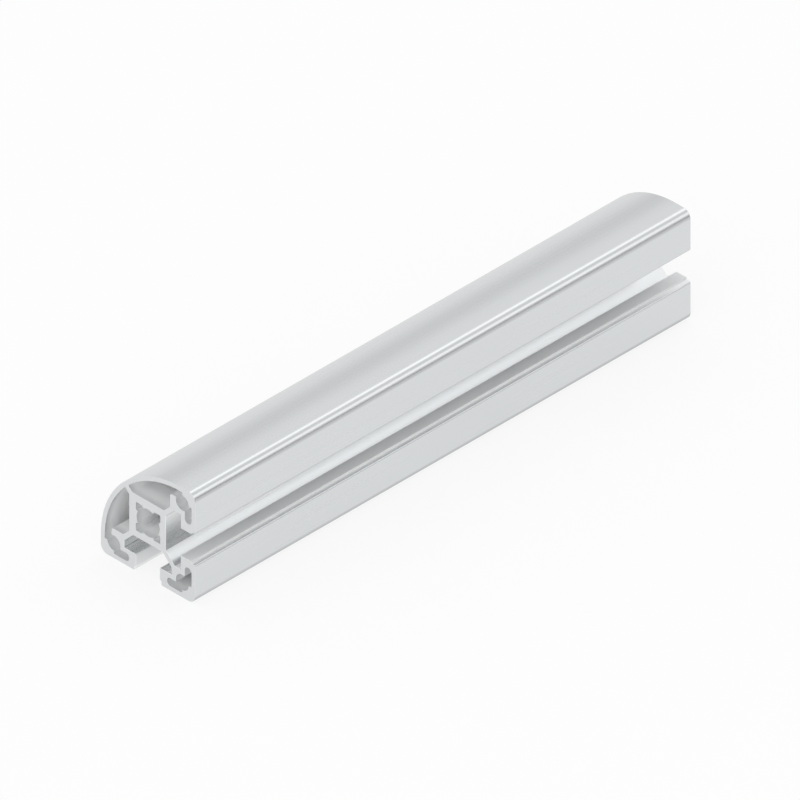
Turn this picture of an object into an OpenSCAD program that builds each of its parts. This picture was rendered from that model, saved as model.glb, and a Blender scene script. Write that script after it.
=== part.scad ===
// Bar of extruded aluminium framing profile, one corner of its square section rounded off
// as a quarter circle, with a T-slot in each of the two faces away from the round.
// It lies along Y on its slotted lower face, with the round face up and towards -X.

/* [Bar] */
// Length the bar is sawn to
bar_length = 210; // [60:1:600]
// Width and height of the square that the section fits in
module_size = 40; // [34:0.5:60]
// Radius of the quarter-round face
round_r = 33.5; // [20:0.5:36]
// Radius of the three small outer corners
corner_r = 2.9; // [1:0.1:4]
// Thickness of the outer skin
skin = 1.6; // [1.2:0.1:2.2]

/* [T-slots] */
// Opening of a slot between its lips
slot_w = 10; // [8:0.1:12]
// Depth from the outer face to the floor of the slot
slot_d = 12.5; // [11:0.1:15]
// Length of the straight sides of the T, before its 45 degree flanks
tee_side = 2.6; // [2:0.1:3.2]
// Wall of the lips between the T and the pockets under the skin
lip_wall = 1.6; // [1.2:0.1:2]
// Solid metal in the lip between a pocket's round end and the slot
lip_nose = 3; // [2:0.1:4]
// Depth of the step cut into the outer edge of each lip
step_d = 1.65; // [1:0.05:2.5]
// Width of that step
step_w = 0.7; // [0.3:0.1:1.2]
// Radius on the edge between the step and the outer face
step_r = 0.5; // [0.2:0.05:0.9]

/* [Core] */
// Wall between the floor of a slot and the square bore
slot_wall = 2.3; // [1.8:0.1:3]
// Wall between the square bore and the two chambers
core_wall = 2.8; // [2:0.1:3.5]
// Width of the relieved corners of the bore
relief_w = 2.9; // [2.2:0.1:3.4]
// Height of the four thread pads, in the middle of the bore's sides
pad_h = 0.3; // [0.1:0.05:0.6]
// Thickness of the diagonal webs
web = 1.8; // [1.4:0.1:2.4]

/* [Corners] */
// Diameter of the round port in each small corner
port_d = 5.5; // [4.6:0.1:6.2]
// Distance of a port's axis from both outer faces
port_in = 5.5; // [4.8:0.1:6]
// Width of the narrow pockets under the skin
pocket_w = 2.9; // [2.2:0.1:3.3]
// Thickness of the free rib between a port and a chamber
rib_t = 2.5; // [1.8:0.1:3.2]
// Radius on the tip of that rib
rib_tip_r = 0.9; // [0.4:0.1:1.2]

/* [Hidden] */
$fn = 96;
// Overshoot that carries a cut past the surface it opens
cut = 1;
middle = module_size / 2;
// The 45 degree flanks of the slots are the faces of the diagonal webs
flank = web / sqrt(2);
pocket_in = skin + pocket_w;
lip_d = pocket_in + lip_wall;
lip_edge = middle - slot_w / 2;
step_edge = lip_edge - step_w;
pocket_end = lip_edge - lip_nose;
tee_d = lip_d + tee_side;
tee_edge = tee_d + flank;
floor_edge = slot_d + flank;
bore_half = middle - slot_d - slot_wall;
core_edge = middle - bore_half - core_wall;
rib_face = port_in + port_d / 2 + rib_t;

// The section is drawn with its lower left corner at the origin, u to the right and v up,
// and is symmetric about the diagonal that runs down from the middle of the round face.
module both_slots() {
  children();
  translate([module_size, module_size]) mirror([1, 1]) children();
}

module both_lips() {
  children();
  translate([module_size, 0]) mirror([1, 0]) children();
}

module small_corners() {
  both_lips() children();
  translate([module_size, module_size]) mirror([1, 1]) children();
}

// Waste outside a corner of radius r, the corner itself at the origin
module corner_waste(r) {
  difference() {
    translate([-cut, -cut]) square(r + cut);
    translate([r, r]) circle(r);
  }
}

module outline() {
  difference() {
    square(module_size);
    translate([0, module_size]) mirror([0, 1]) corner_waste(round_r);
    small_corners() corner_waste(corner_r);
  }
}

// Everything inside the outer skin, its round corner concentric with the round face
module inside_skin() {
  difference() {
    translate([skin, skin]) square(module_size - 2 * skin);
    translate([skin, module_size - skin]) mirror([0, 1]) corner_waste(round_r - skin);
  }
}

// Metal below the lower chamber, from its free rib to the slot
module rib_block() {
  difference() {
    translate([pocket_in, 0]) square([module_size, rib_face]);
    translate([pocket_in, rib_face]) mirror([0, 1]) corner_waste(rib_tip_r);
  }
}

// Hollow behind the lower half of the round face, in the wedge between two diagonal webs
module chamber() {
  difference() {
    intersection() {
      inside_skin();
      polygon([[-flank, 0], [middle - flank, middle], [-flank, module_size]]);
      translate([0, port_in]) square([core_edge, module_size]);
    }
    rib_block();
  }
}

module pocket() {
  end_r = pocket_w / 2;
  translate([port_in, skin]) square([pocket_end - end_r - port_in, pocket_w]);
  translate([pocket_end - end_r, skin + end_r]) circle(end_r);
}

module port() {
  translate([port_in, port_in]) circle(d = port_d);
}

// Half of a slot, from the outer face down its step and its neck to the T
module slot_half() {
  translate([step_edge, 0]) mirror([1, 0]) corner_waste(step_r);
  polygon([
    [middle, -cut],
    [step_edge, -cut],
    [step_edge, step_d],
    [lip_edge, step_d],
    [lip_edge, lip_d],
    [tee_edge, lip_d],
    [tee_edge, tee_d],
    [floor_edge, slot_d],
    [middle, slot_d]
  ]);
}

module slot() {
  both_lips() slot_half();
}

// Round thread core, opened into a square corner between each two pads
module bore() {
  translate([middle, middle]) {
    circle(bore_half - pad_h);
    for (turn = [0 : 90 : 270])
      rotate(turn)
        translate([bore_half - relief_w, bore_half - relief_w])
          square(relief_w);
  }
}

module section() {
  difference() {
    outline();
    both_slots() slot();
    both_slots() chamber();
    both_slots() both_lips() pocket();
    small_corners() port();
    bore();
  }
}

module profile() {
  color([0.84, 0.845, 0.85])
    translate([-module_size / 2, 0, 0])
      rotate([90, 0, 0])
        linear_extrude(height = bar_length, center = true)
          section();
}

profile();
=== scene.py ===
import math

import bpy
import numpy as np
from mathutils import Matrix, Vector
from mathutils.geometry import delaunay_2d_cdt


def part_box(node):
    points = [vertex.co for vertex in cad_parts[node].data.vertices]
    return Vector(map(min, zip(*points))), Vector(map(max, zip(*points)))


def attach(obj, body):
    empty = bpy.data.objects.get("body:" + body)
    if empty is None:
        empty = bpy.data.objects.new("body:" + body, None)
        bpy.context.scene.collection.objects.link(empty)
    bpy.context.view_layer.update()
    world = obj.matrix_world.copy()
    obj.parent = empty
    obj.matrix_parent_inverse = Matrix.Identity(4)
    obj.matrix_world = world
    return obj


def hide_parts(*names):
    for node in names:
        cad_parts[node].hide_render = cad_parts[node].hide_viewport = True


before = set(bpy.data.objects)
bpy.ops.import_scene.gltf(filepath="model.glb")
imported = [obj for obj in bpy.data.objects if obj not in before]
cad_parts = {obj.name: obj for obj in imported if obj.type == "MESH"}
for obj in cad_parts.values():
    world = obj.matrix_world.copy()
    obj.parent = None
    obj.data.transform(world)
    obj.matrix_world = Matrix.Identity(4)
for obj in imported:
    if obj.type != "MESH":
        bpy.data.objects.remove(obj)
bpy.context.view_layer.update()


# The bar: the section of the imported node, carried along Y with broken ends
barShape = {
    "node": "profile",
    "slot": "anodised_aluminium",
    "endFlat": 0.000001,  # what is nearer than this to the end of the node lies on it
    "weldDigits": 7,  # points that agree to so many decimals are one point
    "edgeRadius": 0.00018,  # left by the die on edges that point out of the metal
    "innerRadius": 0.00030,  # in the corners of slots and chambers
    "sharpTurn": 20,  # degrees; a smaller turn belongs to a round stretch
    "leastTangent": 1e-9,  # of half a turn, where the outline runs on straight
    "roundSteps": 4,  # chords put in place of each corner
    "meetGap": 0.000001,  # arcs whose ends are closer than this share a point
    "shadeHeight": 0.0029,  # how far from the lower face and the slotted side edges take painted shade
    "shadeShare": (0, 1, 1, 0),  # how much painted shade, at the four slopes of the next two lines
    "shadeSlope": (0.05, 0.20, 0.60, 0.90),  # of the lower corners: how far the normal points down
    "shadeEdge": (0.0, 0.22, 0.32, 0.45),  # of round edges of the slotted side: up or down
    "endBreak": 0.00012,  # radius on the sawn edges after deburring
    "endSteps": 3,
    "roomShare": 0.8,  # of an outer radius, the most that the broken end takes
    "endScale": 1000,  # the ends are triangulated in millimetres
    "endGap": 1e-7,  # in millimetres, points that count as one there
    "mouthDepth": (0.0004, 0.0014, 0.0026, 0.0042),  # into the hollows, whose mouths are deburred and hold less painted light
    "mouthMatt": (0.32, 0.55, 0.88, 1.0),  # share of the hollows' roughness and painted light at those depths
    "slotHalf": 0.0105,  # half of the widest part of a slot, with room
    "slotDeep": 0.0127,  # depth of a slot, with room
    "teeDepth": 0.00605,  # below the slotted faces, where the T of a slot starts
    "flankSlant": (0.6, 0.95),  # where the 45 degree flanks of the T start and are full
    "neckDepth": (0.0003, 0.0006, 0.00155, 0.00165, 0.0018, 0.0060),  # down the lips' step to the T
    "neckMatt": (0, 0.35, 0.35, 0.35, 0.8, 0.65),  # share of the hollows' roughness there
    "neckPaintedLight": (0, 1.0, 1.0, 0.45, 0.8, 0.65),  # share of the hollows' painted light there
}


def sectionEdges(node, shape):
    # Outline of the near end: the edges that only one triangle of the end plane has,
    # with the metal on the left of each as seen from -Y
    mesh = node.data
    points = np.empty(len(mesh.vertices) * 3)
    mesh.vertices.foreach_get("co", points)
    points = points.reshape(-1, 3)
    corners = np.empty(len(mesh.loops), dtype=np.int64)
    mesh.loops.foreach_get("vertex_index", corners)
    triangles = corners.reshape(-1, 3)
    nearEnd = points[:, 1].min() + shape["endFlat"]
    onEnd = np.all(points[triangles][:, :, 1] < nearEnd, axis=1)
    rounded = np.round(points[:, [0, 2]], shape["weldDigits"])
    flat, merged = np.unique(rounded, axis=0, return_inverse=True)
    triangles = merged.reshape(-1)[triangles[onEnd]]
    edges = np.concatenate([triangles[:, [0, 1]], triangles[:, [1, 2]], triangles[:, [2, 0]]])
    lower, upper = edges.min(axis=1), edges.max(axis=1)
    _, index, count = np.unique(lower * len(flat) + upper, return_index=True, return_counts=True)
    edges = edges[index[count == 1]]
    used, renumbered = np.unique(edges, return_inverse=True)
    return flat[used], renumbered.reshape(-1, 2)


def cornerArcs(flat, before, after, shape):
    # Each corner becomes an arc tangent to both of its edges: trimmed by r tan(turn / 2)
    # where it is sharp, and by half the shorter edge on a round stretch. Sharp edges that point
    # out of the metal are worn, most in the middle of the arc
    inward, outward = flat - flat[before], flat[after] - flat
    lengthIn, lengthOut = np.linalg.norm(inward, axis=1), np.linalg.norm(outward, axis=1)
    angle = np.arctan2(inward[:, 1], inward[:, 0])
    turn = np.arctan2(outward[:, 1], outward[:, 0]) - angle
    turn = (turn + np.pi) % (2 * np.pi) - np.pi
    sharp = np.abs(turn) > math.radians(shape["sharpTurn"])
    radius = np.where(turn > 0, shape["edgeRadius"], shape["innerRadius"])
    half = np.minimum(lengthIn, lengthOut) / 2
    tangent = np.tan(np.abs(turn) / 2)
    trim = np.where(sharp, np.minimum(radius * tangent, half), half)
    radius = trim / np.maximum(tangent, shape["leastTangent"])
    share = np.linspace(0, 1, shape["roundSteps"] + 1)
    heading = angle[:, None] + turn[:, None] * share
    start = flat - inward * (trim / lengthIn)[:, None]
    swing = radius * np.sign(turn)
    across = np.stack([np.sin(heading) - np.sin(angle)[:, None],
                       np.cos(angle)[:, None] - np.cos(heading)], axis=2)
    ring = start[:, None, :] + across * swing[:, None, None]
    outside = np.stack([np.sin(heading), -np.cos(heading)], axis=2)
    worn = np.where(sharp & (turn > 0), 1.0, 0.0)[:, None] * np.sin(np.pi * share)
    room = np.where(turn > 0, shape["roomShare"] * radius, np.inf)
    return ring, outside, worn, np.broadcast_to(room[:, None], worn.shape)


def onOuterLoop(flat, after):
    # Each point takes the lowest number of its loop, by looking twice as far ahead each time
    loop, ahead = np.arange(len(flat)), after
    for _ in range(len(flat).bit_length()):
        loop = np.minimum(loop, loop[ahead])
        ahead = ahead[ahead]
    return loop == loop[flat[:, 0].argmin()]


def insideShares(flat, outer, ring, outside, shape):
    # Matt and painted light are 1 in the hollows, on every loop but the outer one. Painted light, a
    # near-white colour standing in for the light the hollows and slots would hold, is 1 in the T of the
    # slots too, but for its
    # 45 degree flanks, where twice the product of the normal's parts is 1. The step of the lips and the
    # neck that leads to the T have a share of both, by depth
    hollow = np.broadcast_to(np.where(outer, 0.0, 1.0)[:, None], ring.shape[:2])
    low, high = flat.min(axis=0), flat.max(axis=0)
    across = np.abs(ring - (low + high) / 2)[..., ::-1]
    reach = np.stack([high[0] - ring[..., 0], ring[..., 1] - low[1]], axis=2)
    inSlot = (across < shape["slotHalf"]) & (reach < shape["slotDeep"])
    depth = np.where(inSlot, reach, 0).max(axis=2)
    slant = np.abs(2 * outside[..., 0] * outside[..., 1])
    plain = np.interp(slant, shape["flankSlant"], (1, 0))
    tee = np.where(depth > shape["teeDepth"], plain, 0)
    neck = depth < shape["teeDepth"]
    matt = np.where(neck, np.interp(depth, shape["neckDepth"], shape["neckMatt"]), 0)
    paintedLight = np.where(neck, np.interp(depth, shape["neckDepth"], shape["neckPaintedLight"]), tee)
    return hollow, np.maximum(hollow, matt), np.maximum(hollow, paintedLight)


def paintedShadeMask(flat, outer, ring, outside, shape):
    # Painted shade: colour darkened on rounded edges, standing in for the dark reflections they would
    # show.
    # The lower corners, by how far the normal points down, and the round edges of the slotted side, by how
    # far it points up or down
    height, share = shape["shadeHeight"], shape["shadeShare"]
    low, high = flat.min(axis=0), flat.max(axis=0)
    fromSide = np.minimum(ring[..., 0] - low[0], high[0] - ring[..., 0])
    corner = outer[:, None] & (ring[..., 1] < low[1] + height) & (fromSide < height)
    side = outer[:, None] & (ring[..., 0] > high[0] - height)
    below = np.where(corner, np.interp(-outside[..., 1], shape["shadeSlope"], share), 0)
    beside = np.where(side, np.interp(np.abs(outside[..., 1]), shape["shadeEdge"], share), 0)
    return np.maximum(below, beside)


def joinedArcs(ring, after, shape):
    # The points of the arcs that are in use, one where two arcs meet, and the edges between them
    ids = np.arange(ring.shape[0] * ring.shape[1]).reshape(ring.shape[:2])
    meet = np.linalg.norm(ring[after, 0] - ring[:, -1], axis=1) < shape["meetGap"]
    ids[:, -1] = np.where(meet, ids[after, 0], ids[:, -1])
    inArc = np.stack([ids[:, :-1], ids[:, 1:]], axis=2).reshape(-1, 2)
    between = np.stack([ids[:, -1], ids[after, 0]], axis=1)[~meet]
    used, edges = np.unique(np.concatenate([inArc, between]), return_inverse=True)
    return used, edges.reshape(-1, 2)


def roundedSection(node, shape):
    flat, edges = sectionEdges(node, shape)
    before, after = np.empty(len(flat), dtype=np.int64), np.empty(len(flat), dtype=np.int64)
    after[edges[:, 0]] = edges[:, 1]
    before[edges[:, 1]] = edges[:, 0]
    ring, outside, worn, room = cornerArcs(flat, before, after, shape)
    outer = onOuterLoop(flat, after)
    hollow, matt, paintedLight = insideShares(flat, outer, ring, outside, shape)
    paintedShade = paintedShadeMask(flat, outer, ring, outside, shape)
    shares = {"worn": worn, "room": room, "hollow": hollow, "matt": matt, "paintedLight": paintedLight, "paintedShade": paintedShade}
    used, edges = joinedArcs(ring, after, shape)
    section = {name: share.ravel()[used] for name, share in shares.items()}
    section["ring"] = ring.reshape(-1, 2)[used]
    section["outside"] = outside.reshape(-1, 2)[used]
    section["edges"] = edges
    return section


def endStations(shape, endY):
    # At each end a quarter circle of radius e draws the section in: inset e (1 - sin a), set back
    # e (1 - cos a), the normal turning from the end to the side. Stations further in carry the
    # finish, painted light included, from the mouths of the hollows to their inside
    turnEnd = np.linspace(0, np.pi / 2, shape["endSteps"] + 1)
    level = np.zeros(len(shape["mouthDepth"]))
    back = np.append(shape["endBreak"] * (1 - np.cos(turnEnd)), shape["mouthDepth"])
    inset = np.append(1 - np.sin(turnEnd), level)
    along = np.append(np.cos(turnEnd), level)
    mouth = np.interp(back, shape["mouthDepth"], shape["mouthMatt"])
    stations = np.append(endY[0] + back, (endY[1] - back)[::-1])
    along = np.append(-along, along[::-1])
    return stations, np.append(inset, inset[::-1]), along, np.append(mouth, mouth[::-1])


def sweptBar(shape, endY):
    # The section at stations along Y. On an outer radius smaller than that of the broken end
    # the inset is less, so that the outline can't cross itself
    section = roundedSection(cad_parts[shape["node"]], shape)
    ring, outside, ringEdges = section["ring"], section["outside"], section["edges"]
    stations, inset, along, mouth = endStations(shape, endY)
    inset = inset[:, None] * np.minimum(shape["endBreak"], section["room"])
    flatPlace = ring[None] - outside[None] * inset[..., None]
    flatNormal = outside[None] * np.sqrt(1 - along ** 2)[:, None, None]
    depth = np.broadcast_to(stations[:, None], inset.shape)
    lengthwise = np.broadcast_to(along[:, None], inset.shape)
    place = np.stack([flatPlace[..., 0], depth, flatPlace[..., 1]], axis=2)
    normal = np.stack([flatNormal[..., 0], lengthwise, flatNormal[..., 1]], axis=2)
    fade = 1 - section["hollow"] * (1 - mouth[:, None])
    finishes = {name: section[name] * fade for name in ("matt", "paintedLight", "paintedShade", "hollow")}
    endWorn = np.sin(2 * np.arccos(np.abs(along)))
    finishes["worn"] = np.maximum(section["worn"][None], endWorn[:, None])
    count = len(ring)
    first, second = ringEdges[:, 0], ringEdges[:, 1]
    shift = np.arange(len(stations) - 1)[:, None, None] * count
    quads = np.stack([second, first, first + count, second + count], axis=1) + shift
    near = endTriangles(flatPlace[0], ringEdges, shape)
    far = near[:, ::-1] + (len(stations) - 1) * count
    ends = np.concatenate([near, far])
    return place.reshape(-1, 3), normal.reshape(-1, 3), finishes, quads.reshape(-1, 4), ends


def endTriangles(rim, rimEdges, shape):
    # Triangles between the outlines of an end, kept where the outlines wind round their middle
    points = [Vector(point) for point in (rim * shape["endScale"]).tolist()]
    made = delaunay_2d_cdt(points, rimEdges.tolist(), [], 0, shape["endGap"], True)
    triangles, source = made[2:4]
    triangles = np.array([ids[0] for ids in source])[np.array(triangles)]
    middle = rim[triangles].mean(axis=1)
    start = rim[rimEdges[:, 0]][None] - middle[:, None]
    stop = rim[rimEdges[:, 1]][None] - middle[:, None]
    cross = start[..., 0] * stop[..., 1] - start[..., 1] * stop[..., 0]
    winding = np.arctan2(cross, (start * stop).sum(axis=2)).sum(axis=1) / (2 * np.pi)
    return triangles[np.rint(winding) > 0]


def buildBar(shape, skin, sawn):
    low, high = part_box(shape["node"])
    place, normal, finishes, quads, ends = sweptBar(shape, (low.y, high.y))
    mesh = bpy.data.meshes.new("bar")
    mesh.from_pydata(place, [], quads.tolist() + ends.tolist())
    mesh.materials.append(skin)
    mesh.materials.append(sawn)
    finish = np.zeros(len(mesh.polygons), dtype=np.int32)
    finish[len(quads):] = 1
    mesh.polygons.foreach_set("material_index", finish)
    mesh.polygons.foreach_set("use_smooth", np.ones(len(finish), dtype=bool))
    for name, values in finishes.items():
        attribute = mesh.attributes.new(name, "FLOAT", "POINT")
        attribute.data.foreach_set("value", values.ravel().astype(np.float32))
    mesh.normals_split_custom_set_from_vertices(normal)
    mesh.update()
    bar = bpy.data.objects.new("bar", mesh)
    bpy.context.scene.collection.objects.link(bar)
    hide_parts(shape["node"])
    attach(bar, "root")
    print("bar", len(mesh.vertices), "vertices,", len(mesh.polygons), "faces,", len(ends), "on the ends")


def newTree(owner):
    owner.use_nodes = True
    owner.node_tree.nodes.clear()
    return owner.node_tree


def addNode(tree, kind, inputs=None, **settings):
    node = tree.nodes.new(kind)
    for name, value in settings.items():
        setattr(node, name, value)
    for name, value in (inputs or {}).items():
        if isinstance(value, bpy.types.NodeSocket):
            tree.links.new(value, node.inputs[name])
        else:
            node.inputs[name].default_value = value
    return node


def math2(tree, operation, first, second):
    return addNode(tree, "ShaderNodeMath", {0: first, 1: second}, operation=operation).outputs[0]


def mixNumbers(tree, factor, first, second):
    return addNode(tree, "ShaderNodeMix", {"Factor": factor, "A": first, "B": second}).outputs[0]


def mixColours(tree, factor, first, second):
    inputs = {"Factor": factor, "A": first, "B": second}
    return addNode(tree, "ShaderNodeMix", inputs, data_type="RGBA").outputs["Result"]


def addNoise(tree, vector, scale, detail):
    inputs = {"Vector": vector, "Scale": scale, "Detail": detail}
    return addNode(tree, "ShaderNodeTexNoise", inputs).outputs[0]


def aboutMiddle(tree, noise):
    return math2(tree, "SUBTRACT", noise, 0.5)  # noise runs from 0 to 1


def finishShare(tree, name):
    return addNode(tree, "ShaderNodeAttribute", attribute_name=name).outputs["Fac"]


# Fine marks of a die or a saw, one unit of the vector wide, and broader streaks of them
marks = {
    "fineScale": 1.0,
    "broadScale": 0.14,
    "broadShare": 0.45,
    "detail": 2.0,
    "roughFrom": (0.3, 0.7),  # height of the marks at the lowest and at the highest roughness
}


def buildMarksGroup(look):
    group = bpy.data.node_groups.new("toolMarks", "ShaderNodeTree")
    face = group.interface
    face.new_socket(name="Vector", in_out="INPUT", socket_type="NodeSocketVector")
    for name in ("Tone Spread", "Roughness Low", "Roughness High"):
        face.new_socket(name=name, in_out="INPUT", socket_type="NodeSocketFloat")
    for name in ("Tone", "Roughness", "Height"):
        face.new_socket(name=name, in_out="OUTPUT", socket_type="NodeSocketFloat")
    given = addNode(group, "NodeGroupInput").outputs
    fine = addNoise(group, given["Vector"], look["fineScale"], look["detail"])
    broad = addNoise(group, given["Vector"], look["broadScale"], look["detail"])
    height = mixNumbers(group, look["broadShare"], fine, broad)
    inputs = {0: aboutMiddle(group, height), 1: given["Tone Spread"], 2: 1.0}
    tone = addNode(group, "ShaderNodeMath", inputs, operation="MULTIPLY_ADD").outputs[0]
    rough = addNode(group, "ShaderNodeMapRange", {
        "Value": height, "From Min": look["roughFrom"][0], "From Max": look["roughFrom"][1],
        "To Min": given["Roughness Low"], "To Max": given["Roughness High"]}).outputs[0]
    addNode(group, "NodeGroupOutput", {"Tone": tone, "Roughness": rough, "Height": height})
    return group


def addMarks(tree, group, vector, look):
    low, high = look["roughness"]
    return addNode(tree, "ShaderNodeGroup", {
        "Vector": vector, "Tone Spread": look["toneSpread"], "Roughness Low": low,
        "Roughness High": high}, node_tree=group).outputs


def wornColour(tree, look):
    plain, worn = (*look["colour"], 1), (*look["wornColour"], 1)
    return mixColours(tree, finishShare(tree, "worn"), plain, worn)


def finishMetal(tree, look, coat):
    inputs = {0: coat["colour"], "Scale": coat["tone"]}
    colour = addNode(tree, "ShaderNodeVectorMath", inputs, operation="SCALE").outputs[0]
    bump = addNode(tree, "ShaderNodeBump", {"Height": coat["height"], "Distance": look["markDepth"]})
    shader = addNode(tree, "ShaderNodeBsdfPrincipled", {
        "Base Color": colour, "Roughness": coat["roughness"], "Metallic": coat["metallic"],
        "Specular Tint": (*look["edgeTint"], 1), "Normal": bump.outputs[0]})
    addNode(tree, "ShaderNodeOutputMaterial", {"Surface": shader.outputs[0]})


# Natural satin anodising over the extruded surface, die lines along Y
skinLook = {
    "colour": (0.705, 0.722, 0.732),
    "wornColour": (0.78, 0.79, 0.795),  # edges rubbed brighter
    "edgeTint": (0.90, 0.90, 0.90),  # reflectance left at grazing angles
    "markPitch": 0.00035,
    "markLength": 0.09,
    "markDepth": 0.0000004,
    "toneSpread": 0.022,
    "roughness": (0.23, 0.29),
    "paintedShadeStrength": 0.23,  # share of the light that the painted shade on corners and edges takes away
    "paintedLightColour": (0.95, 0.955, 0.957),  # painted light: a near-white colour that stands in for light in the hollows and in the T of the slots
    "mattRoughness": 0.95,  # in the hollows, and in part in the necks of the slots
    "mattSpread": 1.0,  # share of the light that the hollows throw all ways
    "cloudSize": 0.035,
    "cloudDetail": 3.0,
    "cloudSpread": 0.02,
}


def buildSkin(look, group):
    material = bpy.data.materials.new("anodisedSkin")
    tree = newTree(material)
    where = addNode(tree, "ShaderNodeTexCoord").outputs["Object"]
    across, along = 1 / look["markPitch"], 1 / look["markLength"]
    inputs = {0: where, 1: (across, along, across)}
    lines = addNode(tree, "ShaderNodeVectorMath", inputs, operation="MULTIPLY").outputs[0]
    made = addMarks(tree, group, lines, look)
    cloud = addNoise(tree, where, 1 / look["cloudSize"], look["cloudDetail"])
    lift = math2(tree, "MULTIPLY", aboutMiddle(tree, cloud), look["cloudSpread"])
    # Painted shade: a darker colour on the lower corners and the round edges of the slotted side, standing
    # in for dark reflections
    paintedShadeLoss = math2(tree, "MULTIPLY", finishShare(tree, "paintedShade"), look["paintedShadeStrength"])
    spread = math2(tree, "MULTIPLY", finishShare(tree, "hollow"), look["mattSpread"])
    # Painted light: the hollows and the T of the slots take a near-white colour in place of the light they
    # would hold
    paintedLight = (*look["paintedLightColour"], 1)
    finishMetal(tree, look, {
        "colour": mixColours(tree, finishShare(tree, "paintedLight"), wornColour(tree, look), paintedLight),
        "tone": math2(tree, "ADD", made["Tone"], math2(tree, "SUBTRACT", lift, paintedShadeLoss)),
        "roughness": mixNumbers(tree, finishShare(tree, "matt"), made["Roughness"], look["mattRoughness"]),
        "metallic": math2(tree, "SUBTRACT", 1.0, spread),
        "height": made["Height"]})
    return material


# Ends cut by a circular saw: arcs about a centre below and to one side of the section
sawLook = {
    "colour": (0.705, 0.720, 0.728),
    "wornColour": (0.79, 0.80, 0.805),
    "edgeTint": (0.90, 0.90, 0.90),
    "bladeCentre": (0.05, -0.14),  # X and Z
    "markPitch": 0.00045,
    "markSweep": 3.0,  # units of the marks for each radian of an arc
    "markDepth": 0.000002,
    "toneSpread": 0.08,
    "roughness": (0.28, 0.38),
}


def buildSawn(look, group):
    # An arc's number is its radius, the root of the sum of both squares, over the pitch
    material = bpy.data.materials.new("sawnEnd")
    tree = newTree(material)
    where = addNode(tree, "ShaderNodeTexCoord").outputs["Object"]
    part = addNode(tree, "ShaderNodeSeparateXYZ", {0: where}).outputs
    right = math2(tree, "SUBTRACT", part["X"], look["bladeCentre"][0])
    up = math2(tree, "SUBTRACT", part["Z"], look["bladeCentre"][1])
    squares = math2(tree, "ADD", math2(tree, "POWER", right, 2.0), math2(tree, "POWER", up, 2.0))
    arc = math2(tree, "DIVIDE", math2(tree, "POWER", squares, 0.5), look["markPitch"])
    sweep = math2(tree, "MULTIPLY", math2(tree, "ARCTAN2", up, right), look["markSweep"])
    vector = addNode(tree, "ShaderNodeCombineXYZ", {0: arc, 1: sweep, 2: part["Y"]}).outputs[0]
    made = addMarks(tree, group, vector, look)
    finishMetal(tree, look, {
        "colour": wornColour(tree, look), "tone": made["Tone"], "roughness": made["Roughness"],
        "metallic": 1.0, "height": made["Height"]})
    return material


marksGroup = buildMarksGroup(marks)
buildBar(barShape, buildSkin(skinLook, marksGroup), buildSawn(sawLook, marksGroup))


# White floor that keeps a soft shadow: part of it shines by itself for the eye and for reflections
floorLook = {
    "width": 12.0,
    "colour": (0.97, 0.97, 0.97),
    "glowColour": (1, 1, 1),
    "glowStrength": 1.0,
    "glowShare": 0.80,
}


def buildFloor(look):
    half = look["width"] / 2
    corners = [(-half, -half, 0), (half, -half, 0), (half, half, 0), (-half, half, 0)]
    mesh = bpy.data.meshes.new("floor")
    mesh.from_pydata(corners, [], [(0, 1, 2, 3)])
    floor = bpy.data.objects.new("floor", mesh)
    bpy.context.scene.collection.objects.link(floor)
    material = bpy.data.materials.new("whiteFloor")
    tree = newTree(material)
    path = addNode(tree, "ShaderNodeLightPath").outputs
    mirrored = math2(tree, "MAXIMUM", path["Is Camera Ray"], path["Is Glossy Ray"])
    seen = math2(tree, "MAXIMUM", mirrored, path["Is Transmission Ray"])
    share = math2(tree, "MULTIPLY", seen, look["glowShare"])
    lit = addNode(tree, "ShaderNodeBsdfDiffuse", {"Color": (*look["colour"], 1)})
    inputs = {"Color": (*look["glowColour"], 1), "Strength": look["glowStrength"]}
    glow = addNode(tree, "ShaderNodeEmission", inputs)
    mixed = addNode(tree, "ShaderNodeMixShader", {0: share, 1: lit.outputs[0], 2: glow.outputs[0]})
    addNode(tree, "ShaderNodeOutputMaterial", {"Surface": mixed.outputs[0]})
    mesh.materials.append(material)


buildFloor(floorLook)


# Soft boxes, each towards a direction, with the radiance that its face adds to the wall behind it
lampLook = {
    "distance": 4.0,
    "areaFactor": 4,  # an area lamp's watts over its area, for a radiance of 1
    "boxes": {
        "backRight": {"towards": (0.603, 0.579, 0.548), "size": (1.5, 1.5), "radiance": 0.40},
        "backLeft": {"towards": (-0.228, 0.579, 0.782), "size": (1.5, 1.5), "radiance": 0.40},
        "front": {"towards": (0.45, -0.72, 0.53), "size": (5.0, 3.6), "radiance": 0.33},
    },
}


def buildLamps(look):
    for name, box in look["boxes"].items():
        towards = Vector(box["towards"]).normalized()
        lamp = bpy.data.lights.new(name, "AREA")
        lamp.shape = "RECTANGLE"
        lamp.size, lamp.size_y = box["size"]
        lamp.energy = look["areaFactor"] * box["radiance"] * lamp.size * lamp.size_y
        holder = bpy.data.objects.new(name, lamp)
        holder.location = towards * look["distance"]
        holder.rotation_mode = "QUATERNION"
        holder.rotation_quaternion = towards.to_track_quat("Z", "Y")
        bpy.context.scene.collection.objects.link(holder)


buildLamps(lampLook)


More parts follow.
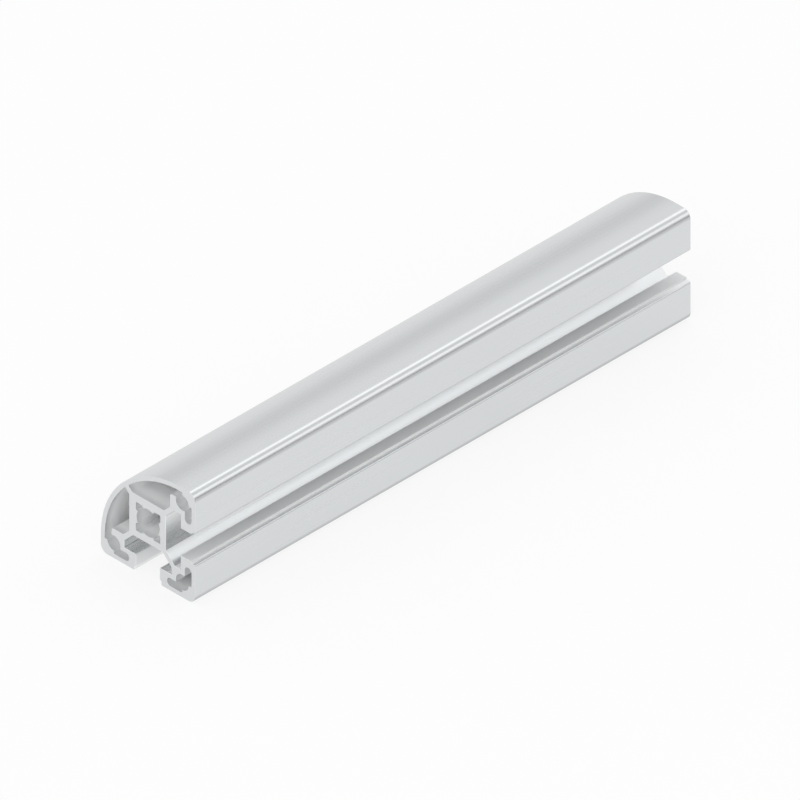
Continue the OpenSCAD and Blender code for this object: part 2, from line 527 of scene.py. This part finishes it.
# Pale studio walls, by height on the round side and on the slotted side, and a dark board that
# stands low behind the slotted side and draws the line along its upper edge
wallLook = {
    "roundStops": ((0.0, 0.97), (0.2, 0.83), (0.36, 0.73), (0.574, 0.96), (0.8, 0.96), (1.0, 0.9)),
    "slotStops": ((0.0, 0.95), (0.30, 0.85), (0.548, 0.85), (0.78, 0.76), (1.0, 0.9)),
    "sideBlend": (-0.1, 0.2),  # X of the direction, from the round side to the slotted one
    "boardTowards": (0.815, 0.579, 0.0),
    "boardEdge": (0.80, 0.92),  # cosine of the angle from its middle, where it starts and is full
    "boardTop": (0.30, 0.15),  # height of the direction, where it starts and is full
    "boardGrey": 0.35,
    "belowGrey": 0.982,  # as the floor shows, where a low camera looks past its edge
    "strength": 1.0,
}


def faded(tree, value, ends):
    inputs = {"Value": value, "From Min": ends[0], "From Max": ends[1]}
    return addNode(tree, "ShaderNodeMapRange", inputs).outputs[0]


def greyColour(grey):
    return (grey, grey, grey, 1)


def wallRamp(tree, height, stops):
    ramp = addNode(tree, "ShaderNodeValToRGB", {0: height})
    while len(ramp.color_ramp.elements) < len(stops):
        ramp.color_ramp.elements.new(0.5)  # moved to its place below
    for element, (position, grey) in zip(ramp.color_ramp.elements, stops):
        element.position = position
        element.color = greyColour(grey)
    return ramp.outputs[0]


def buildWalls(look):
    world = bpy.data.worlds.new("studio")
    bpy.context.scene.world = world
    tree = newTree(world)
    towards = addNode(tree, "ShaderNodeTexCoord").outputs["Generated"]
    part = addNode(tree, "ShaderNodeSeparateXYZ", {0: towards}).outputs
    roundSide = wallRamp(tree, part["Z"], look["roundStops"])
    slotSide = wallRamp(tree, part["Z"], look["slotStops"])
    walls = mixColours(tree, faded(tree, part["X"], look["sideBlend"]), roundSide, slotSide)
    inputs = {0: towards, 1: look["boardTowards"]}
    cosine = addNode(tree, "ShaderNodeVectorMath", inputs, operation="DOT_PRODUCT").outputs["Value"]
    board = math2(tree, "MULTIPLY", faded(tree, cosine, look["boardEdge"]),
                  faded(tree, part["Z"], look["boardTop"]))
    backed = mixColours(tree, board, walls, greyColour(look["boardGrey"]))
    below = math2(tree, "LESS_THAN", part["Z"], 0.0)
    whole = mixColours(tree, below, backed, greyColour(look["belowGrey"]))
    shine = addNode(tree, "ShaderNodeBackground", {"Color": whole, "Strength": look["strength"]})
    addNode(tree, "ShaderNodeOutputWorld", {"Surface": shine.outputs[0]})


buildWalls(wallLook)


cameraLook = {
    "azimuth": 45,
    "elevation": 35,
    "width": 0.2397,  # width of the picture at the bar
    "aim": (-0.003425, 0.005247, 0.008757),
    "distance": 1.5,
    "bounces": 24,  # light goes a long way into the hollows
}


def buildCamera(look):
    turn, tilt = math.radians(look["azimuth"]), math.radians(look["elevation"])
    back = Vector((math.sin(turn) * math.cos(tilt), -math.cos(turn) * math.cos(tilt), math.sin(tilt)))
    lens = bpy.data.cameras.new("camera")
    lens.type = "ORTHO"
    lens.ortho_scale = look["width"]
    camera = bpy.data.objects.new("camera", lens)
    camera.location = Vector(look["aim"]) + back * look["distance"]
    camera.rotation_mode = "QUATERNION"
    camera.rotation_quaternion = (-back).to_track_quat("-Z", "Y")
    scene = bpy.context.scene
    scene.collection.objects.link(camera)
    scene.camera = camera
    scene.view_settings.view_transform = "Standard"
    scene.cycles.max_bounces = look["bounces"]
    scene.cycles.glossy_bounces = look["bounces"]


buildCamera(cameraLook)
print("stage set")
